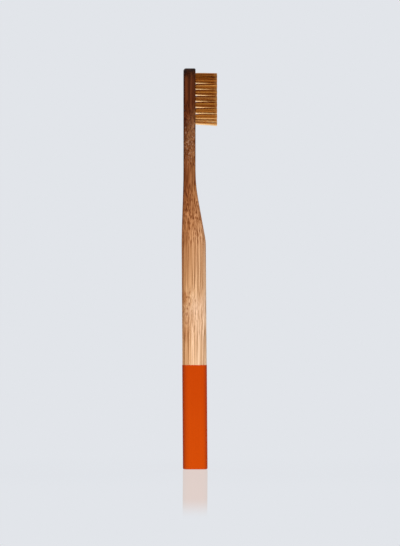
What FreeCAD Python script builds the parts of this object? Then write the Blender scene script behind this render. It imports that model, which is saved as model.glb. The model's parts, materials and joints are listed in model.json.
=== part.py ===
import FreeCAD
import Part
import math
import os

from FreeCAD import Vector

# Manual toothbrush with a milled bamboo handle. The lower end is dipped in paint, and the head
# carries nylon tufts, each folded over a flat metal anchor and driven into a drilled blind hole.
# The brush stands on its painted foot. The origin is the middle of that foot, +Z runs up the
# handle, +X is the way the bristles point and Y runs across the head. Lengths are millimetres.

# Paint coat on the lower end
PAINT_THICKNESS = 0.1
PAINT_HEIGHT = 49.4

# Grip, the straight lower part of the handle, which leans back a little towards the shoulder
GRIP_LENGTH = 108.1
GRIP_WIDTH = 12.6
GRIP_DEPTH = 11.5
GRIP_LEAN = 0.71
GRIP_EDGE_RADIUS = 3.4
FOOT_EDGE_RADIUS = 0.6

# Ramp from the shoulder of the grip to the face of the neck, seen from the side
RAMP_LENGTH = 26.7
SHOULDER_RADIUS = 20.0
SCOOP_RADIUS = 75.0
FACE_FORWARD = 0.15

# Neck and head, one flat plate that flares from the neck to the head
NECK_LENGTH = 0.94
NECK_WIDTH = 6.4
FLARE_LENGTH = 24.5
TIP_FLAT = 2.8
FACE_EDGE_RADIUS = 0.6
BACK_EDGE_RADIUS = 1.3

# Drilled tuft holes: full rows of aligned holes, and at each end one row set between the columns
HOLE_DIAMETER = 2.25
FULL_ROWS = 7
COLUMNS = 4
ROW_WEB = 0.59
COLUMN_WEB = 0.45
SIDE_MARGIN = 1.225
TIP_MARGIN = 2.225
HOLE_FLOOR = 2.145

# Anchors, short lengths of flat wire that bite into the wood on both sides of the hole
ANCHOR_THICKNESS = 0.3
ANCHOR_HEIGHT = 1.6
ANCHOR_BITE = 0.2
ANCHOR_COVER = 1.05
ANCHOR_TURN = 45.0

# Tufts
TUFT_CLEARANCE = 0.02
TRIM_HEIGHT = 10.25
TIP_GAP = 0.1
TUFT_SIDES = 10

# Cutting tools run this far past what they cut
OVERRUN = 1.0

# How many sections shape the rounded foot of the coat and each stretch of the ramp
FOOT_STEPS = 3
SHOULDER_STEPS = 2
RAMP_STEPS = 3
SCOOP_STEPS = 3

# Tuft pattern, worked out from the holes and the wood between them
HOLE_RADIUS = HOLE_DIAMETER / 2
ROW_PITCH = HOLE_DIAMETER + ROW_WEB
COLUMN_PITCH = HOLE_DIAMETER + COLUMN_WEB
END_ROW_PITCH = math.sqrt(ROW_PITCH**2 - (COLUMN_PITCH / 2) ** 2)
TUFT_RADIUS = HOLE_RADIUS - TUFT_CLEARANCE
TIP_RADIUS = (min(ROW_PITCH, COLUMN_PITCH) - TIP_GAP) / 2

# Hole depth: the anchor below the face, and under it the filaments folded round its lower edge
FOLD_THICKNESS = TUFT_RADIUS - ANCHOR_THICKNESS / 2
HOLE_DEPTH = ANCHOR_COVER + ANCHOR_HEIGHT + FOLD_THICKNESS

# Head, sized to carry the holes: its sides are straight from the last full row upwards
HEAD_WIDTH = (COLUMNS - 1) * COLUMN_PITCH + HOLE_DIAMETER + 2 * SIDE_MARGIN
HEAD_LENGTH = TIP_MARGIN + HOLE_RADIUS + END_ROW_PITCH + (FULL_ROWS - 1) * ROW_PITCH
HEAD_DEPTH = HOLE_DEPTH + HOLE_FLOOR
HEAD_BACK = FACE_FORWARD - HEAD_DEPTH
TIP_CORNER_RADIUS = (HEAD_WIDTH - TIP_FLAT) / 2

# Ramp slopes, and how far its two rounded corners reach
SHOULDER_FRONT = GRIP_DEPTH / 2 - GRIP_LEAN
GRIP_SLOPE = -GRIP_LEAN / GRIP_LENGTH
RAMP_SLOPE = (FACE_FORWARD - SHOULDER_FRONT) / RAMP_LENGTH
SHOULDER_REACH = SHOULDER_RADIUS * (GRIP_SLOPE - RAMP_SLOPE) / 2
SCOOP_REACH = -SCOOP_RADIUS * RAMP_SLOPE / 2

# Heights above the foot
RAMP_START = GRIP_LENGTH - SHOULDER_REACH
SCOOP_HEIGHT = GRIP_LENGTH + RAMP_LENGTH
RAMP_END = SCOOP_HEIGHT + SCOOP_REACH
FLARE_START = RAMP_END + NECK_LENGTH
HEAD_START = FLARE_START + FLARE_LENGTH
BRUSH_LENGTH = HEAD_START + HEAD_LENGTH


def between(low, high, share):
    return low + (high - low) * share


def ease(share):
    """An S-curve from 0 to 1 that starts and ends level."""
    return share * share * (3 - 2 * share)


def rounded_section(height, back, front, width, back_radius, front_radius):
    """A level rectangle with rounded corners, as a closed wire."""
    side = width / 2
    corners = [
        (front - front_radius, front_radius - side, front_radius, -90),
        (front - front_radius, side - front_radius, front_radius, 0),
        (back + back_radius, side - back_radius, back_radius, 90),
        (back + back_radius, back_radius - side, back_radius, 180),
    ]
    arcs = []
    for x, y, radius, start in corners:
        angles = [math.radians(start + turn) for turn in (0, 45, 90)]
        arcs.append([Vector(x + radius * math.cos(a), y + radius * math.sin(a), height) for a in angles])
    edges = []
    for arc, following in zip(arcs, arcs[1:] + arcs[:1]):
        edges.append(Part.Arc(*arc).toShape())
        edges.append(Part.makeLine(arc[-1], following[0]))
    return Part.Wire(edges)


def grip_back(height):
    return GRIP_SLOPE * height - GRIP_DEPTH / 2


def grip_section(height, growth):
    """The grip at a height, grown outwards, or inwards where growth is negative."""
    back = grip_back(height) - growth
    front = back + GRIP_DEPTH + 2 * growth
    radius = GRIP_EDGE_RADIUS + growth
    return rounded_section(height, back, front, GRIP_WIDTH + 2 * growth, radius, radius)


def grip_block():
    """The wooden grip, which stands on the coat under its foot; the edge of the foot is bevelled."""
    rise = RAMP_START - PAINT_THICKNESS
    block = Part.Face(grip_section(PAINT_THICKNESS, 0)).extrude(Vector(GRIP_SLOPE * rise, 0, rise))
    foot = min(block.Faces, key=lambda face: face.CenterOfMass.z)
    return block.makeChamfer(FOOT_EDGE_RADIUS, foot.Edges)


def coat_block():
    """The painted end as if it were solid, with its foot rounded by sections up a quarter turn."""
    radius = FOOT_EDGE_RADIUS + PAINT_THICKNESS
    turns = [math.pi / 2 * step / FOOT_STEPS for step in range(FOOT_STEPS + 1)]
    foot = [
        grip_section(radius * (1 - math.cos(turn)), PAINT_THICKNESS - radius * (1 - math.sin(turn)))
        for turn in turns
    ]
    return Part.makeLoft(foot + [grip_section(PAINT_HEIGHT, PAINT_THICKNESS)], True, True)


def rounded_corner(height, corner_height, corner_x, slope_below, slope_above, reach):
    """Two straight slopes that meet at a corner, joined by a parabola over the corner's reach."""
    past = height - corner_height
    if past < -reach:
        return corner_x + slope_below * past
    if past > reach:
        return corner_x + slope_above * past
    bend = (slope_above - slope_below) * (past + reach) ** 2 / (4 * reach)
    return corner_x + slope_below * past + bend


def ramp_front(height):
    if height < GRIP_LENGTH + SHOULDER_REACH:
        return rounded_corner(height, GRIP_LENGTH, SHOULDER_FRONT, GRIP_SLOPE, RAMP_SLOPE, SHOULDER_REACH)
    return rounded_corner(height, SCOOP_HEIGHT, FACE_FORWARD, RAMP_SLOPE, 0, SCOOP_REACH)


def ramp_section(height):
    """The ramp at a height, where the grip's section has partly turned into the neck's."""
    share = ease((height - RAMP_START) / (RAMP_END - RAMP_START))
    return rounded_section(
        height,
        between(grip_back(RAMP_START), HEAD_BACK, share),
        ramp_front(height),
        between(GRIP_WIDTH, NECK_WIDTH, share),
        between(GRIP_EDGE_RADIUS, BACK_EDGE_RADIUS, share),
        between(GRIP_EDGE_RADIUS, FACE_EDGE_RADIUS, share),
    )


def ramp_block():
    stretches = [
        (RAMP_START, GRIP_LENGTH + SHOULDER_REACH, SHOULDER_STEPS),
        (GRIP_LENGTH + SHOULDER_REACH, SCOOP_HEIGHT - SCOOP_REACH, RAMP_STEPS),
        (SCOOP_HEIGHT - SCOOP_REACH, RAMP_END, SCOOP_STEPS),
    ]
    heights = [between(low, high, step / steps) for low, high, steps in stretches for step in range(steps)]
    return Part.makeLoft([ramp_section(height) for height in heights + [RAMP_END]], True, True)


def plate_side(side):
    """One side of the plate from the neck up to the tip; side is 1 or -1."""

    def point(half_width, height):
        return Vector(FACE_FORWARD, side * half_width, height)

    neck, head = NECK_WIDTH / 2, HEAD_WIDTH / 2
    widening = head - neck
    flare_radius = (FLARE_LENGTH**2 + widening**2) / (4 * widening)
    half_turn = math.atan2(widening, FLARE_LENGTH)
    arc_rise = flare_radius * math.sin(half_turn)
    arc_shift = flare_radius * (1 - math.cos(half_turn))
    tip_inset = TIP_CORNER_RADIUS * (1 - math.sqrt(0.5))
    neck_foot, neck_top = point(neck, RAMP_END), point(neck, FLARE_START)
    bend = point((neck + head) / 2, FLARE_START + FLARE_LENGTH / 2)
    head_foot, head_top = point(head, HEAD_START), point(head, BRUSH_LENGTH - TIP_CORNER_RADIUS)
    tip = point(head - TIP_CORNER_RADIUS, BRUSH_LENGTH)
    return [
        Part.LineSegment(neck_foot, neck_top),
        Part.Arc(neck_top, point(neck + arc_shift, FLARE_START + arc_rise), bend),
        Part.Arc(bend, point(head - arc_shift, HEAD_START - arc_rise), head_foot),
        Part.LineSegment(head_foot, head_top),
        Part.Arc(head_top, point(head - tip_inset, BRUSH_LENGTH - tip_inset), tip),
    ]


def rim(plate, direction):
    """The edges round the front or the back of the plate, without the lowest, which joins the ramp."""
    face = max(plate.Faces, key=lambda face: direction * face.CenterOfMass.x)
    return sorted(face.Edges, key=lambda edge: edge.CenterOfMass.z)[1:]


def head_block():
    right, left = plate_side(1), plate_side(-1)
    tip_line = Part.LineSegment(right[-1].EndPoint, left[-1].EndPoint)
    neck_line = Part.LineSegment(left[0].StartPoint, right[0].StartPoint)
    outline = right + [tip_line] + left[::-1] + [neck_line]
    face = Part.Face(Part.Wire([curve.toShape() for curve in outline]))
    plate = face.extrude(Vector(-HEAD_DEPTH, 0, 0))
    plate = plate.makeFillet(FACE_EDGE_RADIUS, rim(plate, 1))
    return plate.makeFillet(BACK_EDGE_RADIUS, rim(plate, -1))


def tuft_places():
    """The row, column and place on the face of every tuft, from the tip downwards."""
    first = BRUSH_LENGTH - TIP_MARGIN - HOLE_RADIUS
    rows = [(COLUMNS - 1, first)]
    rows += [(COLUMNS, first - END_ROW_PITCH - step * ROW_PITCH) for step in range(FULL_ROWS)]
    rows.append((COLUMNS - 1, rows[-1][1] - END_ROW_PITCH))
    places = []
    for row, (count, height) in enumerate(rows, start=1):
        for column in range(1, count + 1):
            across = (column - (count + 1) / 2) * COLUMN_PITCH
            places.append((row, column, Vector(FACE_FORWARD, across, height)))
    return places


def drill():
    """What the drill takes out, with the mouth of the hole at the origin."""
    bottom = Vector(-HOLE_DEPTH, 0, 0)
    return Part.makeCylinder(HOLE_RADIUS, HOLE_DEPTH + OVERRUN, bottom, Vector(1, 0, 0))


def anchor():
    """A flat blade across the hole, with both ends in the wood."""
    length = HOLE_DIAMETER + 2 * ANCHOR_BITE
    corner = Vector(-ANCHOR_COVER - ANCHOR_HEIGHT, -length / 2, -ANCHOR_THICKNESS / 2)
    blade = Part.makeBox(ANCHOR_HEIGHT, length, ANCHOR_THICKNESS, corner)
    blade.rotate(Vector(0, 0, 0), Vector(1, 0, 0), ANCHOR_TURN)
    return blade


def bundle_section(x, radius):
    """A regular polygon across a tuft, as a closed wire."""
    turns = [2 * math.pi * side / TUFT_SIDES for side in range(TUFT_SIDES)]
    corners = [Vector(x, radius * math.cos(turn), radius * math.sin(turn)) for turn in turns]
    return Part.makePolygon(corners + corners[:1])


def tuft(blade):
    """A bundle of filaments folded under its anchor, which splays above the face to a flat trim."""
    root = [bundle_section(-HOLE_DEPTH, TUFT_RADIUS), bundle_section(0, TUFT_RADIUS)]
    return Part.makeLoft(root + [bundle_section(TRIM_HEIGHT, TIP_RADIUS)], True, True).cut(blade)


def copies(shape, places):
    """A copy of a shape at each place, as a list."""
    made = [shape.copy() for _ in places]
    for copy, (_, _, place) in zip(made, places):
        copy.translate(place)
    return made


def bamboo_handle(places, anchors):
    blank = grip_block().fuse([ramp_block(), head_block()]).removeSplitter()
    return blank.cut(copies(drill(), places)).cut(anchors)


def paint_dip(handle):
    return coat_block().cut(handle)


def write_node(name, shape):
    shape.exportStep(os.path.join("parts", name + ".step"))
    print(name, "solids", len(shape.Solids), "volume", round(shape.Volume, 3), "valid", shape.isValid())


def main():
    os.makedirs("parts", exist_ok=True)
    places = tuft_places()
    blade = anchor()
    anchors = copies(blade, places)
    handle = bamboo_handle(places, anchors)
    write_node("bamboo_handle", handle)
    write_node("paint_dip", paint_dip(handle))
    write_node("tuft_anchors", Part.makeCompound(anchors))
    for (row, column, _), shape in zip(places, copies(tuft(blade), places)):
        write_node(f"tuft_row{row}_col{column}", shape)


main()
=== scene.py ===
import json
import math
import random

import bpy
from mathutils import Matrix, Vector

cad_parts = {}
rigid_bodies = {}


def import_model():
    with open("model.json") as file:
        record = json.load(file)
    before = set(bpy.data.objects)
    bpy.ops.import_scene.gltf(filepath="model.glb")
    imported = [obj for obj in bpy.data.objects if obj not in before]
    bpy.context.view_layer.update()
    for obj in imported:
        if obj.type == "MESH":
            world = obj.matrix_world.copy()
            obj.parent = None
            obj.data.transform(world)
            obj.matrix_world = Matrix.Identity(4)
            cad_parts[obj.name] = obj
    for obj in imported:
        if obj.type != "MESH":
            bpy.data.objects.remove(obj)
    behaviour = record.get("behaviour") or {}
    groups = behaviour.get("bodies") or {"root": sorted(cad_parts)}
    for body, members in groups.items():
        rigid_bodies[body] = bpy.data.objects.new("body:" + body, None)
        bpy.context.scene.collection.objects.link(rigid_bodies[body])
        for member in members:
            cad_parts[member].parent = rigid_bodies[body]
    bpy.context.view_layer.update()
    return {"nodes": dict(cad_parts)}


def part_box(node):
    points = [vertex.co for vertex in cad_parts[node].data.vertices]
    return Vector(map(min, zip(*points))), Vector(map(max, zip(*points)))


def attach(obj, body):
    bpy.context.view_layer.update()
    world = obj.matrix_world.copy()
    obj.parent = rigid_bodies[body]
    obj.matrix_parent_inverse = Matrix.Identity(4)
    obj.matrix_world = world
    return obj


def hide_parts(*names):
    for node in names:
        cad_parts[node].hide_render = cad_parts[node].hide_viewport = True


for leftover in list(bpy.data.objects):
    bpy.data.objects.remove(leftover, do_unlink=True)
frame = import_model()


# Bamboo handle
# One strip of bamboo, sawn and sanded so that its fibres run along the brush, with rounded edges. It
# darkens towards the head, partly its own heat-darkened tone and partly painted shade, and one node of
# the cane crosses the grip.

def srgb(red, green, blue):
    """An 8-bit screen colour as the linear colour that Blender works in."""
    channels = [value / 255.0 for value in (red, green, blue)]
    linear = [c / 12.92 if c <= 0.04045 else ((c + 0.055) / 1.055) ** 2.4 for c in channels]
    return (*linear, 1.0)


def node(tree, kind, inputs=None, **settings):
    """Adds a node, sets its properties, then sets or links its inputs."""
    made = tree.nodes.new(kind)
    for name, value in settings.items():
        setattr(made, name, value)
    for key, value in (inputs or {}).items():
        if isinstance(value, bpy.types.NodeSocket):
            tree.links.new(value, made.inputs[key])
        else:
            made.inputs[key].default_value = value
    return made


def maths(tree, operation, first, second=0.0):
    """One Math node, as a value."""
    return node(tree, "ShaderNodeMath", {0: first, 1: second}, operation=operation).outputs[0]


def vector_maths(tree, operation, first, second=(0.0, 0.0, 0.0)):
    """One Vector Math node, as a vector."""
    return node(tree, "ShaderNodeVectorMath", {0: first, 1: second}, operation=operation).outputs[0]


def scaled(tree, vector, factor):
    """A vector times a value."""
    return node(tree, "ShaderNodeVectorMath", {0: vector, 3: factor}, operation="SCALE").outputs[0]


def length_of(tree, vector):
    """How long a vector is."""
    return node(tree, "ShaderNodeVectorMath", {0: vector}, operation="LENGTH").outputs["Value"]


def step(tree, value, start, end, low=0.0, high=1.0, form="SMOOTHSTEP"):
    """Goes from low to high while the value goes from start to end, and is level outside."""
    return node(tree, "ShaderNodeMapRange",
                {"Value": value, "From Min": start, "From Max": end, "To Min": low, "To Max": high},
                interpolation_type=form).outputs["Result"]


def between(tree, value, start, full, fading, end):
    """1 while the value lies between full and fading, and 0 before start and past end."""
    rising = step(tree, value, start, full)
    return maths(tree, "MULTIPLY", rising, step(tree, value, fading, end, 1.0, 0.0))


def reach_from(tree, vector, middle, waves):
    """How far a place is from a middle, in its own unit along each axis."""
    offset = vector_maths(tree, "SUBTRACT", vector, middle)
    return length_of(tree, vector_maths(tree, "MULTIPLY", offset, waves))


def laid_over(tree, share, below, above, blend="MIX"):
    """One colour laid over another."""
    return node(tree, "ShaderNodeMix", {0: share, 6: below, 7: above},
                data_type="RGBA", blend_type=blend).outputs[2]


def colour_band(tree, value, stops):
    """A colour for each place along a value, from a list of places and colours."""
    ramp = node(tree, "ShaderNodeValToRGB", {0: value})
    elements = ramp.color_ramp.elements
    while len(elements) < len(stops):
        elements.new(1.0)
    for element, (position, colour) in zip(elements, stops):
        element.position = position
        element.color = (*colour[:3], 1.0)
    return ramp.outputs["Color"]


def cloud(tree, vector, waves, detail=2.0, output="Fac"):
    """Noise with its own number of waves for each metre along each axis."""
    waved = vector_maths(tree, "MULTIPLY", vector, waves)
    return node(tree, "ShaderNodeTexNoise",
                {"Vector": waved, "Scale": 1.0, "Detail": detail}).outputs[output]


def flecks(tree, vector, waves, size, share):
    """Scattered flecks: a share of the cells of a pattern, each with a soft round fleck of a size."""
    waved = vector_maths(tree, "MULTIPLY", vector, waves)
    cells = node(tree, "ShaderNodeTexVoronoi", {"Vector": waved, "Scale": 1.0}).outputs
    lot = node(tree, "ShaderNodeSeparateXYZ", {0: cells["Color"]}).outputs[0]
    picked = maths(tree, "LESS_THAN", lot, share)
    return maths(tree, "MULTIPLY", step(tree, cells["Distance"], size * 0.5, size, 1.0, 0.0), picked)


def new_material(name):
    """A new material: its tree, its Principled shader, and object coordinates to paint by."""
    made = bpy.data.materials.new(name)
    made.use_nodes = True
    tree = made.node_tree
    tree.nodes.clear()
    shader = node(tree, "ShaderNodeBsdfPrincipled")
    node(tree, "ShaderNodeOutputMaterial", {"Surface": shader.outputs["BSDF"]})
    return made, tree, shader.inputs, node(tree, "ShaderNodeTexCoord").outputs["Object"]


def bamboo_fibre_group():
    """The fibres of bamboo as a solid pattern: dark bundles, fine lines and broad bands."""
    group = bpy.data.node_groups.new("bamboo_fibres", "ShaderNodeTree")
    group.interface.new_socket("Grain Place", in_out="INPUT", socket_type="NodeSocketVector")
    group.interface.new_socket("Bundle Size", in_out="INPUT", socket_type="NodeSocketFloat")
    for name in ("Bundle", "Line", "Band"):
        group.interface.new_socket(name, in_out="OUTPUT", socket_type="NodeSocketFloat")
    entry = group.nodes.new("NodeGroupInput").outputs
    cells = node(group, "ShaderNodeTexVoronoi", {"Vector": entry["Grain Place"], "Scale": 1.0}).outputs
    reach = maths(group, "DIVIDE", cells["Distance"], entry["Bundle Size"])
    node(group, "NodeGroupOutput", {
        "Bundle": step(group, reach, 0.5, 1.0, 1.0, 0.0),
        "Line": cloud(group, entry["Grain Place"], (1.7, 1.7, 0.5), 2.0),
        "Band": cloud(group, entry["Grain Place"], (0.5, 0.5, 0.22), 2.0)})
    return group


bamboo_fibres = bamboo_fibre_group()
bamboo, wood, wood_surface, place = new_material("bamboo_heat_and_shade")
axes = node(wood, "ShaderNodeSeparateXYZ", {0: place}).outputs

# The node of the cane: within an ellipse on the back half of the grip the fibres swirl.
CANE_NODE = (-0.0032, 0.0, 0.0785)
in_node = step(wood, reach_from(wood, place, CANE_NODE, (190.0, 0.0, 105.0)), 0.25, 1.0, 1.0, 0.0)
CANE_EYE = (-0.0042, 0.0, 0.0715)
eye_blur = maths(wood, "MULTIPLY", cloud(wood, place, (500.0, 500.0, 300.0)), 0.5)
eye_reach = maths(wood, "ADD", reach_from(wood, place, CANE_EYE, (480.0, 0.0, 235.0)), eye_blur)
eye_rings = maths(wood, "MULTIPLY",
                  step(wood, maths(wood, "SINE", maths(wood, "MULTIPLY", eye_reach, 10.0)), 0.2, 0.9),
                  step(wood, eye_reach, 1.0, 1.7, 1.0, 0.0))

# Fibres wander a little along the cane and much more in its node, where they are shorter too.
# Where the sides of the brush slope, at the ramp and at the flare, they cut the fibres short.
MIDDLE = (0.5, 0.5, 0.5)
GRAIN_ACROSS = 1300.0
GRAIN_ALONG = 40.0
slow = vector_maths(wood, "SUBTRACT", cloud(wood, place, (70.0, 70.0, 40.0), 2.0, "Color"), MIDDLE)
quick = vector_maths(wood, "SUBTRACT", cloud(wood, place, (420.0, 420.0, 300.0), 2.0, "Color"), MIDDLE)
AROUND_NODE = (-0.001, 0.0, 0.0745)
near_node = step(wood, reach_from(wood, place, AROUND_NODE, (85.0, 0.0, 60.0)), 0.3, 1.0, 1.0, 0.0)
unrest = maths(wood, "ADD", maths(wood, "MULTIPLY", in_node, 0.0018),
               maths(wood, "MULTIPLY", near_node, 0.0008))
wander = vector_maths(wood, "ADD", scaled(wood, slow, 0.0004), scaled(wood, quick, unrest))
moved = node(wood, "ShaderNodeSeparateXYZ", {0: vector_maths(wood, "ADD", place, wander)}).outputs
cut_short = maths(wood, "ADD", step(wood, axes["Z"], 0.104, 0.139, 0.0, 8.5),
                  step(wood, axes["Z"], 0.140, 0.176, 0.0, 22.0))
cut_short = maths(wood, "ADD", cut_short, step(wood, axes["Z"], 0.058, 0.090, -3.6, 0.0))
grain_place = node(wood, "ShaderNodeCombineXYZ", {
    0: maths(wood, "MULTIPLY", moved["X"], GRAIN_ACROSS),
    1: maths(wood, "MULTIPLY", moved["Y"], GRAIN_ACROSS),
    2: maths(wood, "ADD", maths(wood, "MULTIPLY", moved["Z"], GRAIN_ALONG), cut_short)}).outputs[0]
fibres = node(wood, "ShaderNodeGroup", {"Grain Place": grain_place, "Bundle Size": 0.38},
              node_tree=bamboo_fibres).outputs

# Tone up the brush: pale tan at the grip, dark red-brown at the head, partly the wood's own heat-darkened
# tone and partly painted shade. The slanting border below the head and the darkest tip are painted shade.
# Each tone comes after its height in millimetres.
BRUSH_LENGTH = 190.0
HEAT_AND_SHADE_TONES = (
    (50.0, (235, 189, 148)),
    (74.0, (233, 187, 149)),
    (82.0, (224, 175, 131)),
    (115.0, (192, 133, 89)),
    (128.0, (167, 108, 66)),
    (142.0, (147, 91, 52)),
    (159.0, (132, 86, 53)),
    (170.0, (97, 47, 20)),
    (184.0, (88, 43, 18)),
    (190.0, (52, 26, 11)),
)
below_plate = between(wood, axes["Z"], 0.148, 0.158, 0.172, 0.180)
tip_lean = step(wood, axes["Z"], 0.180, 0.187, 0.7, -0.3)
shade_border_lean = maths(wood, "ADD", tip_lean, maths(wood, "MULTIPLY", below_plate, 1.3))
shade_slant = maths(wood, "MULTIPLY", maths(wood, "ADD", axes["X"], 0.0028), shade_border_lean)
height = maths(wood, "SUBTRACT", axes["Z"], shade_slant)
tone = colour_band(wood, maths(wood, "DIVIDE", height, BRUSH_LENGTH / 1000.0),
                   [(top / BRUSH_LENGTH, srgb(*colour)) for top, colour in HEAT_AND_SHADE_TONES])

# Warmer and darker at the back of the cane, paler at its front: partly the wood's own tone, partly
# painted shade at the back and painted light at the front.
GRIP_HALF = 0.0065
back_to_front = step(wood, moved["X"], -GRIP_HALF, GRIP_HALF, form="LINEAR")
across_cane = colour_band(wood, back_to_front, (
    (0.0, (0.80, 0.64, 0.44)), (0.40, (1.01, 0.99, 0.94)), (1.0, (1.01, 1.08, 1.16))))
tone = laid_over(wood, 1.0, tone, across_cane, "MULTIPLY")

# Up the lower grip run two pale stripes, and the wood behind them is warmer.
STRIPE_REACH = 0.0008
PALE_STRIPE = (1.10, 1.16, 1.24, 1.0)
WARMER = (0.98, 0.89, 0.77, 1.0)
low_grip = step(wood, axes["Z"], 0.064, 0.082, 0.55, 0.0)
for stripe in (-0.0018, 0.0013):
    off_stripe = maths(wood, "ABSOLUTE", maths(wood, "SUBTRACT", moved["X"], stripe))
    in_stripe = maths(wood, "MULTIPLY", step(wood, off_stripe, 0.0, STRIPE_REACH, 1.0, 0.0), low_grip)
    tone = laid_over(wood, in_stripe, tone, PALE_STRIPE, "MULTIPLY")
behind = between(wood, moved["X"], -0.0055, -0.0047, -0.0027, -0.0021)
tone = laid_over(wood, maths(wood, "MULTIPLY", behind, low_grip), tone, WARMER, "MULTIPLY")

# Bands and fine lines of fibres. The lines are calmer round the node and near the paint.
tone = laid_over(wood, 1.0, tone, colour_band(wood, fibres["Band"], (
    (0.30, (0.88, 0.82, 0.74)), (0.50, (1.0, 1.0, 1.0)), (0.70, (1.06, 1.09, 1.13)))), "MULTIPLY")
calm = maths(wood, "MAXIMUM", near_node, step(wood, axes["Z"], 0.072, 0.060, 0.0, 0.4))
line_share = maths(wood, "SUBTRACT", 1.0, maths(wood, "MULTIPLY", calm, 0.4))
tone = laid_over(wood, line_share, tone, colour_band(wood, fibres["Line"], (
    (0.36, (0.52, 0.38, 0.26)), (0.46, (0.88, 0.82, 0.75)), (0.53, (1.07, 1.09, 1.11)),
    (0.65, (1.38, 1.51, 1.66)))), "MULTIPLY")

# Painted light and shade on the neck: redder and darker at its back, paler at its front.
NECK_PAINTED_SHADE = (0.86, 0.76, 0.72, 1.0)
NECK_PAINTED_LIGHT = (1.14, 1.24, 1.30, 1.0)
in_neck = between(wood, axes["Z"], 0.122, 0.134, 0.146, 0.156)
neck_back = maths(wood, "MULTIPLY", in_neck, step(wood, moved["X"], -0.0018, -0.0036))
neck_front = maths(wood, "MULTIPLY", in_neck, step(wood, moved["X"], -0.0024, -0.0014))
tone = laid_over(wood, neck_back, tone, NECK_PAINTED_SHADE, "MULTIPLY")
tone = laid_over(wood, neck_front, tone, NECK_PAINTED_LIGHT, "MULTIPLY")

# Dark bundles of fibres, broad streaks towards the head, and paler wood in the cane's node.
DARK_BUNDLE = (0.42, 0.24, 0.14, 1.0)
NODE_PALENESS = (1.08, 1.15, 1.25, 1.0)
dark_bundle = laid_over(wood, 1.0, tone, DARK_BUNDLE, "MULTIPLY")
streak_share = maths(wood, "ADD", step(wood, height, 0.125, 0.145, 0.0, 0.2),
                     step(wood, height, 0.162, 0.170, 0.0, 0.8))
tone = laid_over(wood, streak_share, tone, colour_band(wood, fibres["Band"], (
    (0.36, (0.42, 0.37, 0.33)), (0.46, (0.82, 0.78, 0.74)), (0.54, (1.04, 1.05, 1.08)),
    (0.64, (1.42, 1.50, 1.72)))), "MULTIPLY")
bundle_shows = step(wood, axes["Z"], 0.100, 0.118, 0.3, 0.9)
tone = laid_over(wood, maths(wood, "MULTIPLY", fibres["Bundle"], bundle_shows), tone, dark_bundle)
tone = laid_over(wood, in_node, tone, NODE_PALENESS, "MULTIPLY")

# Two soft patches beside the node, where the fibres are darker: middle, fineness and depth.
DARKER_FIBRES = (0.74, 0.56, 0.42, 1.0)
dappled = cloud(wood, place, (700.0, 700.0, 120.0), 2.0)
for patch, fineness, depth in (((-0.0048, 0.0, 0.0815), (400.0, 0.0, 200.0), 0.8),
                               ((-0.0046, 0.0, 0.0640), (360.0, 0.0, 150.0), 0.55)):
    patch_reach = maths(wood, "ADD", reach_from(wood, place, patch, fineness), dappled)
    in_patch = step(wood, patch_reach, 0.7, 1.4, depth, 0.0)
    tone = laid_over(wood, in_patch, tone, DARKER_FIBRES, "MULTIPLY")

# Dark specks and rings in the cane's node, pale dusty flecks in the flare, and painted shade darkening
# the edges along the back and front of the brush above the ramp.
specks = maths(wood, "MULTIPLY", flecks(wood, place, (1000.0, 1000.0, 500.0), 0.46, 0.42), in_node)
marks = maths(wood, "MAXIMUM", specks, maths(wood, "MULTIPLY", eye_rings, 0.45))
tone = laid_over(wood, maths(wood, "MULTIPLY", marks, 0.8), tone, srgb(150, 80, 42))
in_flare = between(wood, axes["Z"], 0.140, 0.152, 0.158, 0.168)
dusty = maths(wood, "MULTIPLY", flecks(wood, place, (1500.0, 1500.0, 900.0), 0.5, 0.45), in_flare)
tone = laid_over(wood, maths(wood, "MULTIPLY", dusty, 0.6), tone, srgb(178, 138, 112))
EDGE_SHADE = (0.5, 0.4, 0.32, 1.0)
edges = maths(wood, "MAXIMUM", step(wood, axes["X"], -0.0048, -0.0056),
              step(wood, axes["X"], -0.0009, 0.0))
shaded_edges = maths(wood, "MULTIPLY", edges, step(wood, axes["Z"], 0.128, 0.142, 0.0, 0.6))
tone = laid_over(wood, shaded_edges, tone, EDGE_SHADE, "MULTIPLY")
wood.links.new(tone, wood_surface["Base Color"])

relief = maths(wood, "SUBTRACT", fibres["Line"], fibres["Bundle"])
grooves = node(wood, "ShaderNodeBump",
               {"Height": relief, "Strength": 0.3, "Distance": 0.00008}).outputs[0]
wood.links.new(grooves, wood_surface["Normal"])
wood.links.new(step(wood, fibres["Line"], 0.2, 0.8, 0.66, 0.50), wood_surface["Roughness"])
wood_surface["Specular IOR Level"].default_value = 0.1
frame["nodes"]["bamboo_handle"].material_slots[0].material = bamboo


# Paint on the lower end
# A satin coat of orange paint on the end of the grip, put on by dipping, so that it ends in a straight
# line round the wood. Painted shade makes it a little darker on the narrow back and front.

paint, coat, coat_surface, place = new_material("orange_dip_paint")
coat_grain = vector_maths(coat, "MULTIPLY", place, (GRAIN_ACROSS, GRAIN_ACROSS, GRAIN_ALONG))
ghost = node(coat, "ShaderNodeGroup", {"Grain Place": coat_grain, "Bundle Size": 0.40},
             node_tree=bamboo_fibres).outputs
coat_axes = node(coat, "ShaderNodeSeparateXYZ", {0: place}).outputs
drift = cloud(coat, place, (260.0, 260.0, 120.0), 3.0)
low_down = maths(coat, "ADD", coat_axes["Z"],
                 maths(coat, "MULTIPLY", maths(coat, "SUBTRACT", drift, 0.5), 0.02))
orange = colour_band(coat, step(coat, low_down, 0.0, 0.05),
                     ((0.0, srgb(217, 78, 2)), (1.0, srgb(209, 71, 1))))
orange = laid_over(coat, step(coat, ghost["Line"], 0.3, 0.7, 0.06, 0.0), orange, srgb(150, 40, 0))
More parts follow.
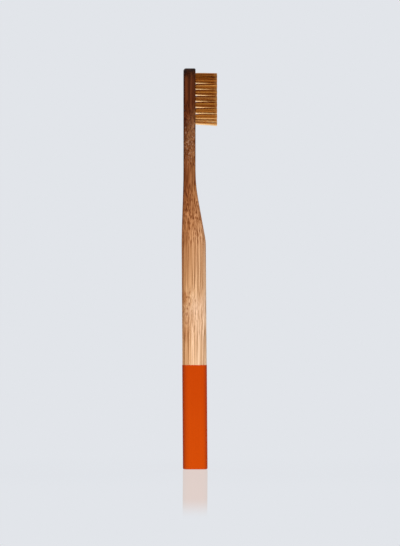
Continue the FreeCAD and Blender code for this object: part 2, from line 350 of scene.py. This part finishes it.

# Painted shade: darker on the narrow back and front of the grip, and most on the rounded edges beside
# them.
GRIP_LEAN = 0.71 / 108.1
SIDE_FLAT_HALF = 0.00235
BACK_FLAT_HALF = 0.0029
EDGE_RADIUS = 0.0035
from_axis = maths(coat, "ADD", coat_axes["X"], maths(coat, "MULTIPLY", coat_axes["Z"], GRIP_LEAN))
past_side = maths(coat, "SUBTRACT", maths(coat, "ABSOLUTE", from_axis), SIDE_FLAT_HALF)
past_back = maths(coat, "SUBTRACT", maths(coat, "ABSOLUTE", coat_axes["Y"]), BACK_FLAT_HALF)
turned = maths(coat, "POWER", step(coat, past_side, 0.0, EDGE_RADIUS, form="LINEAR"), 5.0)
edge_shade_depth = step(coat, past_back, 0.0, EDGE_RADIUS, 0.24, 1.2, form="LINEAR")
orange = laid_over(coat, maths(coat, "MULTIPLY", turned, edge_shade_depth), orange, srgb(104, 22, 2))
coat.links.new(orange, coat_surface["Base Color"])
peel = cloud(coat, place, (1500.0, 1500.0, 1500.0))
skin = maths(coat, "ADD", peel, maths(coat, "MULTIPLY", ghost["Line"], 0.6))
ripples = node(coat, "ShaderNodeBump",
               {"Height": skin, "Strength": 0.12, "Distance": 0.00006}).outputs[0]
coat.links.new(ripples, coat_surface["Normal"])
coat.links.new(step(coat, drift, 0.2, 0.8, 0.48, 0.58), coat_surface["Roughness"])
coat_surface["Specular IOR Level"].default_value = 0.06
frame["nodes"]["paint_dip"].material_slots[0].material = paint


# Tuft anchors
# Short pieces of flat brass wire. Each is driven over the fold of a tuft and bites into
# the wood on both sides of its hole, so that they are out of sight.

brass, wire, wire_surface, place = new_material("anchor_brass")
rolled = cloud(wire, place, (9000.0, 2500.0, 2500.0))
wire.links.new(colour_band(wire, rolled, ((0.3, srgb(176, 132, 66)), (0.7, srgb(214, 172, 98)))),
               wire_surface["Base Color"])
wire.links.new(step(wire, rolled, 0.2, 0.8, 0.28, 0.45), wire_surface["Roughness"])
wire_surface["Metallic"].default_value = 1.0
frame["nodes"]["tuft_anchors"].material_slots[0].material = brass


# Bristle tufts
# Bundles of thin golden-brown nylon filaments, folded in half round an anchor and punched
# into a drilled hole. They fan out a little and are trimmed flat, with rounded ends.

nylon, thread, thread_surface, place = new_material("golden_brown_nylon")
strand = node(thread, "ShaderNodeAttribute", attribute_name="strand").outputs["Fac"]
along = node(thread, "ShaderNodeSeparateXYZ", {0: place}).outputs
# The strand value is each filament's random dye with painted light and shade in it. Painted light makes
# the lower rows paler, painted shade makes the top row darker, and the palest, lit strands darken towards
# their tips.
lit_low_rows = step(thread, along["Z"], 0.1735, 0.1640, 0.0, 0.28)
shaded_top_row = step(thread, along["Z"], 0.1848, 0.1858, 0.0, 0.16)
dye_with_painted_light = maths(thread, "ADD", strand, maths(thread, "SUBTRACT", lit_low_rows, shaded_top_row))
lit_strands_fade = maths(thread, "MULTIPLY", step(thread, strand, 0.82, 0.95),
                   step(thread, along["X"], 0.002, 0.009, 0.0, 0.24))
dye_with_painted_light = maths(thread, "SUBTRACT", dye_with_painted_light, lit_strands_fade)
dyed_with_painted_light = colour_band(thread, dye_with_painted_light, (
    (0.0, srgb(98, 38, 3)), (0.40, srgb(163, 87, 19)), (0.75, srgb(220, 148, 63)),
    (1.0, srgb(255, 224, 164))))
worn = laid_over(thread, step(thread, along["X"], 0.0084, 0.0104, 0.0, 0.36), dyed_with_painted_light, srgb(218, 164, 94))
thread.links.new(worn, thread_surface["Base Color"])

# Nylon lets light through. The palest strands, in the gaps between the rows and along the top, get a
# faint painted glow that stands in for daylight shining through them, most of it near the head.
BLACK = (0.0, 0.0, 0.0, 1.0)
painted_glow_colour = colour_band(thread, step(thread, along["X"], 0.0, 0.01, form="LINEAR"), (
    (0.0, (0.36, 0.235, 0.13)), (0.30, (0.29, 0.175, 0.09)), (0.60, (0.13, 0.06, 0.025)),
    (1.0, (0.08, 0.03, 0.01))))
painted_glow = laid_over(thread, step(thread, strand, 0.86, 0.98), BLACK, painted_glow_colour)
thread.links.new(painted_glow, thread_surface["Emission Color"])
thread_surface["Emission Strength"].default_value = 1.0
streaks = cloud(thread, place, (300.0, 6000.0, 6000.0), 1.0)
thread.links.new(step(thread, streaks, 0.2, 0.8, 0.30, 0.46), thread_surface["Roughness"])
thread_surface["Specular IOR Level"].default_value = 0.12


STATIONS = 9
TUBE_SIDES = 5


def filament_tree():
    """One tuft: filaments spread over the hole and fanned out to the trim, each a little its own way."""
    tree = bpy.data.node_groups.new("tuft_of_filaments", "GeometryNodeTree")
    for name, kind in (("Filaments", "Int"), ("Seed", "Int"), ("Place", "Vector"), ("Length", "Float"),
                       ("Mouth", "Float"), ("Root Radius", "Float"), ("Fan", "Float"), ("Droop", "Float"),
                       ("Lift", "Float"), ("Upper Shade", "Float"), ("Lower Shade", "Float"),
                       ("Top Shade", "Float"), ("Bend", "Float"), ("Lean", "Vector"), ("Dome", "Float"),
                       ("Uneven Trim", "Float"), ("Filament Radius", "Float"), ("Nylon", "Material")):
        tree.interface.new_socket(name, in_out="INPUT", socket_type="NodeSocket" + kind)
    tree.interface.new_socket("Geometry", in_out="OUTPUT", socket_type="NodeSocketGeometry")
    entry = tree.nodes.new("NodeGroupInput").outputs

    # One filament along X: a five-sided tube, drawn in at its rounded tip. Its stations lie close
    # together just past the mouth of the hole, where it bends outwards.
    index = node(tree, "GeometryNodeInputIndex").outputs[0]
    end = node(tree, "ShaderNodeCombineXYZ", {0: entry["Length"]}).outputs[0]
    spine = node(tree, "GeometryNodeCurvePrimitiveLine",
                 {"Start": (0.0, 0.0, 0.0), "End": end}).outputs[0]
    stations = node(tree, "GeometryNodeResampleCurve", {"Curve": spine, "Count": STATIONS}).outputs[0]
    onward = maths(tree, "POWER", step(tree, index, 1.0, STATIONS - 1.0, form="LINEAR"), 2.4)
    outside = maths(tree, "MULTIPLY", maths(tree, "SUBTRACT", entry["Length"], entry["Mouth"]), onward)
    inside = maths(tree, "MULTIPLY", entry["Mouth"], maths(tree, "MINIMUM", index, 1.0))
    station = node(tree, "ShaderNodeCombineXYZ", {0: maths(tree, "ADD", inside, outside)}).outputs[0]
    stations = node(tree, "GeometryNodeSetPosition",
                    {"Geometry": stations, "Position": station}).outputs[0]
    at_tip = node(tree, "FunctionNodeCompare", {2: index, 3: STATIONS - 1},
                  data_type="INT", operation="EQUAL").outputs[0]
    girth = node(tree, "GeometryNodeSwitch", {0: at_tip, 1: 1.0, 2: 0.6}, input_type="FLOAT").outputs[0]
    tapered = node(tree, "GeometryNodeSetCurveRadius", {"Curve": stations, "Radius": girth}).outputs[0]
    ring = node(tree, "GeometryNodeCurvePrimitiveCircle",
                {"Resolution": TUBE_SIDES, "Radius": entry["Filament Radius"]}).outputs[0]
    filament = node(tree, "GeometryNodeCurveToMesh",
                    {"Curve": tapered, "Profile Curve": ring, "Fill Caps": True}).outputs[0]

    def chance(low, high, salt):
        """A random vector for each filament, from the tuft's own seed."""
        salted = maths(tree, "ADD", entry["Seed"], salt)
        return node(tree, "FunctionNodeRandomValue", {0: low, 1: high, "Seed": salted},
                    data_type="FLOAT_VECTOR").outputs[0]

    def kept(geometry, name, value):
        """Keeps a vector on each filament, to be read again once the filaments are real."""
        return node(tree, "GeometryNodeStoreNamedAttribute",
                    {"Geometry": geometry, "Name": name, "Value": value},
                    data_type="FLOAT_VECTOR", domain="POINT").outputs[0]

    def read(name):
        """A vector that was kept on each filament."""
        return node(tree, "GeometryNodeInputNamedAttribute", {"Name": name},
                    data_type="FLOAT_VECTOR").outputs[0]

    # Roots spread over the hole like seeds in a sunflower, with a little disorder.
    rank = maths(tree, "DIVIDE", maths(tree, "ADD", index, 0.5), entry["Filaments"])
    share = maths(tree, "SQRT", rank)
    turn = maths(tree, "MULTIPLY", index, math.pi * (3.0 - math.sqrt(5.0)))
    seed_head = node(tree, "ShaderNodeCombineXYZ", {
        1: maths(tree, "MULTIPLY", share, maths(tree, "COSINE", turn)),
        2: maths(tree, "MULTIPLY", share, maths(tree, "SINE", turn))}).outputs[0]
    spot = vector_maths(tree, "ADD", seed_head, chance((0.0, -0.08, -0.08), (0.0, 0.08, 0.08), 0.0))
    root = scaled(tree, spot, entry["Root Radius"])
    points = node(tree, "GeometryNodePoints", {"Count": entry["Filaments"], "Position": root}).outputs[0]
    points = kept(points, "spot", spot)
    points = kept(points, "sway", chance((0.0, -1.0, -1.0), (1.0, 1.0, 1.0), 200.0))
    level = node(tree, "ShaderNodeSeparateXYZ", {0: spot}).outputs["Z"]
    # Each filament's tone: a random dye, with painted shade on the upper filaments of a tuft, and painted
    # light on the lowest ones and, where Top Shade is set, on the topmost ones.
    dyes = chance((0.0, 0.0, 0.0), (0.8, 0.0, 0.0), 400.0)
    shade = node(tree, "ShaderNodeSeparateXYZ", {0: dyes}).outputs[0]
    shade = maths(tree, "MULTIPLY", shade, step(tree, level, 0.3, 0.9, 1.0, entry["Upper Shade"]))
    tone = maths(tree, "MAXIMUM", shade, step(tree, level, -0.76, -0.84, 0.0, entry["Lower Shade"]))
    tone = maths(tree, "MAXIMUM", tone, step(tree, level, 0.80, 0.88, 0.0, entry["Top Shade"]))
    droop = maths(tree, "MULTIPLY", step(tree, level, -0.68, -0.84), entry["Droop"])
    lift = maths(tree, "MULTIPLY", step(tree, level, 0.68, 0.84), entry["Lift"])
    fringe = node(tree, "ShaderNodeCombineXYZ", {2: maths(tree, "SUBTRACT", lift, droop)}).outputs[0]
    points = kept(points, "fringe", fringe)
    points = node(tree, "GeometryNodeStoreNamedAttribute",
                  {"Geometry": points, "Name": "strand", "Value": tone},
                  data_type="FLOAT", domain="POINT").outputs[0]
    placed = node(tree, "GeometryNodeInstanceOnPoints",
                  {"Points": points, "Instance": filament}).outputs[0]
    real = node(tree, "GeometryNodeRealizeInstances", {0: placed}).outputs[0]

    # Fanning, bending and leaning grow towards the tip, and the trim is cut a little unevenly.
    position = node(tree, "GeometryNodeInputPosition").outputs[0]
    here = node(tree, "ShaderNodeSeparateXYZ", {0: position}).outputs[0]
    up = maths(tree, "DIVIDE", here, entry["Length"])
    swayed = node(tree, "ShaderNodeSeparateXYZ", {0: read("sway")}).outputs
    from_middle = length_of(tree, read("spot"))
    rounded = maths(tree, "MULTIPLY", maths(tree, "MULTIPLY", from_middle, from_middle), entry["Dome"])
    uneven = maths(tree, "MULTIPLY", swayed[0], entry["Uneven Trim"])
    short = maths(tree, "MULTIPLY", maths(tree, "ADD", rounded, uneven), up)
    sideways = node(tree, "ShaderNodeCombineXYZ", {1: swayed[1], 2: swayed[2]}).outputs[0]
    bend = scaled(tree, sideways, maths(tree, "MULTIPLY", maths(tree, "POWER", up, 2.0), entry["Bend"]))
    past_mouth = step(tree, here, entry["Mouth"], entry["Length"], form="LINEAR")
    spread = maths(tree, "MULTIPLY", maths(tree, "POWER", past_mouth, 0.55), entry["Fan"])
    fan = scaled(tree, read("spot"), spread)
    hanging = scaled(tree, read("fringe"), maths(tree, "POWER", past_mouth, 0.12))
    fan = vector_maths(tree, "ADD", fan, hanging)
    lean = scaled(tree, entry["Lean"], maths(tree, "POWER", up, 1.5))
    shift = vector_maths(tree, "ADD", vector_maths(tree, "ADD", fan, bend),
                         vector_maths(tree, "ADD", lean, entry["Place"]))
    shortened = node(tree, "ShaderNodeCombineXYZ", {0: short}).outputs[0]
    shift = vector_maths(tree, "SUBTRACT", shift, shortened)
    shaped = node(tree, "GeometryNodeSetPosition", {"Geometry": real, "Offset": shift}).outputs[0]
    for name in ("spot", "sway", "fringe"):
        shaped = node(tree, "GeometryNodeRemoveAttribute", {"Geometry": shaped, "Name": name}).outputs[0]
    smooth = node(tree, "GeometryNodeSetShadeSmooth", {"Geometry": shaped}).outputs[0]
    finished = node(tree, "GeometryNodeSetMaterial",
                    {"Geometry": smooth, "Material": entry["Nylon"]}).outputs[0]
    node(tree, "NodeGroupOutput", {"Geometry": finished})
    return tree


filaments = filament_tree()
socket = {item.name: item.identifier for item in filaments.interface.items_tree if item.in_out == "INPUT"}
ROOT_X = -0.0012
FACE_X = 0.00015
TRIM_X = 0.0104
TUFT_SIZES = {"Filaments": 72, "Root Radius": 0.00106, "Fan": 0.00031, "Bend": 0.00016, "Dome": 0.00012,
              "Uneven Trim": 0.00002, "Filament Radius": 0.000095}

# A value for most rows, then the rows near the ends that have another. Row 1 is at the tip.
ROW_VALUES = {
    "Droop": (0.00034, {"8": 0.0, "9": 0.0}),
    "Lift": (0.00006, {"1": 0.0, "2": 0.0}),
    # The shade values set painted shade and painted light on the filaments of each row.
    "Upper Shade": (0.12, {"1": 0.6, "2": 1.0}),
    "Lower Shade": (1.0, {"1": 0.6, "8": 0.5}),
    "Top Shade": (0.0, {"1": 1.1}),
}
ROW_LEAN = {"1": -0.0005, "2": -0.0001, "8": -0.0001, "9": -0.0004}
ROW_RISE = 0.00005
OFF_CENTRE = 0.00006
OFF_STRAIGHT = 0.0001
by_hand = random.Random(4)
tuft_names = sorted(name for name in frame["nodes"] if name.startswith("tuft_row"))
for seed, name in enumerate(tuft_names, start=1):
    row = name.removeprefix("tuft_row")[0]
    low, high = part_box(name)
    blank = bpy.data.objects.new("blank", bpy.data.meshes.new("blank"))
    bpy.context.scene.collection.objects.link(blank)
    growth = blank.modifiers.new("growth", "NODES")
    growth.node_group = filaments
    for size, value in TUFT_SIZES.items():
        growth[socket[size]] = value
    for size, (usual, others) in ROW_VALUES.items():
        growth[socket[size]] = others.get(row, usual)
    growth[socket["Seed"]] = seed
    off_centre = by_hand.uniform(-OFF_CENTRE, OFF_CENTRE)
    growth[socket["Place"]] = (ROOT_X, (low.y + high.y) / 2, (low.z + high.z) / 2 + ROW_RISE + off_centre)
    growth[socket["Length"]] = TRIM_X - ROOT_X
    growth[socket["Mouth"]] = FACE_X - ROOT_X
    lean_across = by_hand.uniform(-OFF_STRAIGHT, OFF_STRAIGHT)
    lean_along = ROW_LEAN.get(row, 0.0) + by_hand.uniform(-OFF_STRAIGHT, OFF_STRAIGHT)
    growth[socket["Lean"]] = (0.0, lean_across, lean_along)
    growth[socket["Nylon"]] = nylon
    grown = blank.evaluated_get(bpy.context.evaluated_depsgraph_get())
    tuft = bpy.data.objects.new(name.replace("tuft", "bristles"), bpy.data.meshes.new_from_object(grown))
    bpy.data.objects.remove(blank, do_unlink=True)
    bpy.context.scene.collection.objects.link(tuft)
    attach(tuft, "root")
    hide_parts(name)


# Floor and studio
# A plain pale floor, slightly polished, which fades into a backdrop of the same colour.
# One soft box stands in front and two behind, and the room fills in the rest.

PALE = srgb(226, 229, 234)
FLOOR_RADIUS = 3.0
FLOOR_CORNERS = 64
corners = [math.tau * turn / FLOOR_CORNERS for turn in range(FLOOR_CORNERS)]
outline = [(FLOOR_RADIUS * math.cos(a), FLOOR_RADIUS * math.sin(a), 0.0) for a in corners]
floor_mesh = bpy.data.meshes.new("floor")
floor_mesh.from_pydata(outline, [], [list(range(FLOOR_CORNERS))])
floor = bpy.data.objects.new("floor", floor_mesh)
bpy.context.scene.collection.objects.link(floor)
pale_floor = bpy.data.materials.new("pale_floor")
pale_floor.use_nodes = True
ground = pale_floor.node_tree
ground.nodes.clear()
away = length_of(ground, node(ground, "ShaderNodeTexCoord").outputs["Object"])
MIRROR = (0.11, 0.215, 0.285, 1.0)
WHITE = (1.0, 1.0, 1.0, 1.0)
mirror = laid_over(ground, step(ground, away, 0.54, 0.88, 1.0, 0.0), BLACK, MIRROR)
dull = laid_over(ground, 1.0, laid_over(ground, 1.0, WHITE, mirror, "SUBTRACT"), PALE, "MULTIPLY")
lit = node(ground, "ShaderNodeBsdfDiffuse", {"Color": dull}).outputs[0]
even = node(ground, "ShaderNodeEmission",
            {"Color": dull, "Strength": step(ground, away, 0.1, 0.5, 1.035, 1.0)}).outputs[0]
matte = node(ground, "ShaderNodeMixShader",
             {0: step(ground, away, 0.1, 0.5, 0.92, 1.0), 1: lit, 2: even}).outputs[0]
shine = node(ground, "ShaderNodeBsdfGlossy", {"Color": mirror, "Roughness": 0.012}).outputs[0]
polished = node(ground, "ShaderNodeAddShader", {0: matte, 1: shine}).outputs[0]
clear = node(ground, "ShaderNodeBsdfTransparent").outputs[0]
rim = step(ground, away, 1.2, 2.9)
faded = node(ground, "ShaderNodeMixShader", {0: rim, 1: polished, 2: clear}).outputs[0]
node(ground, "ShaderNodeOutputMaterial", {"Surface": faded})
floor_mesh.materials.append(pale_floor)

world = bpy.data.worlds.new("studio")
bpy.context.scene.world = world
world.use_nodes = True
room = world.node_tree
room.nodes.clear()
ray = node(room, "ShaderNodeLightPath").outputs
mirrored = maths(room, "MAXIMUM", ray["Is Glossy Ray"], ray["Is Transmission Ray"])
seen = maths(room, "MAXIMUM", ray["Is Camera Ray"], mirrored)
fill = node(room, "ShaderNodeBackground", {"Color": WHITE, "Strength": 0.24}).outputs[0]
backdrop = node(room, "ShaderNodeBackground", {"Color": PALE, "Strength": 1.0}).outputs[0]
sky = node(room, "ShaderNodeMixShader", {0: seen, 1: fill, 2: backdrop}).outputs[0]
node(room, "ShaderNodeOutputWorld", {"Surface": sky})


BRUSH_MIDDLE = Vector((0.0, 0.0, 0.095))


def soft_box(name, spot, width, height, watts):
    """A rectangular lamp that points at the middle of the brush."""
    lamp = bpy.data.lights.new(name, "AREA")
    lamp.shape = "RECTANGLE"
    lamp.size = width
    lamp.size_y = height
    lamp.energy = watts
    stand = bpy.data.objects.new(name, lamp)
    bpy.context.scene.collection.objects.link(stand)
    stand.location = spot
    stand.rotation_euler = (BRUSH_MIDDLE - Vector(spot)).to_track_quat("-Z", "Y").to_euler()
    stand.visible_camera = False
    stand.visible_glossy = False


soft_box("front_soft_box", (0.2, -1.18, 0.14), 0.4, 0.5, 9.5)
soft_box("back_left_soft_box", (-0.42, 1.1, 0.30), 0.4, 0.6, 5.6)
soft_box("back_right_soft_box", (0.42, 1.1, 0.30), 0.4, 0.6, 5.6)


# Camera
# Level and square to the side of the brush, far away with a long lens.

PICTURE_ROWS = 546
METRES_PER_ROW = 0.0004736
FRAME_HEIGHT = PICTURE_ROWS * METRES_PER_ROW
MIDDLE_X = 0.00226
NEAR_SIDE = -0.0045
MIDDLE_Z = 0.093
lens = bpy.data.cameras.new("camera")
lens.sensor_fit = "VERTICAL"
lens.sensor_height = 24.0
lens.lens = 400.0
camera = bpy.data.objects.new("camera", lens)
bpy.context.scene.collection.objects.link(camera)
stand_off = FRAME_HEIGHT * lens.lens / lens.sensor_height
camera.location = (MIDDLE_X, NEAR_SIDE - stand_off, MIDDLE_Z)
camera.rotation_euler = (math.pi / 2, 0.0, 0.0)
bpy.context.scene.camera = camera
bpy.context.scene.view_settings.view_transform = "Standard"
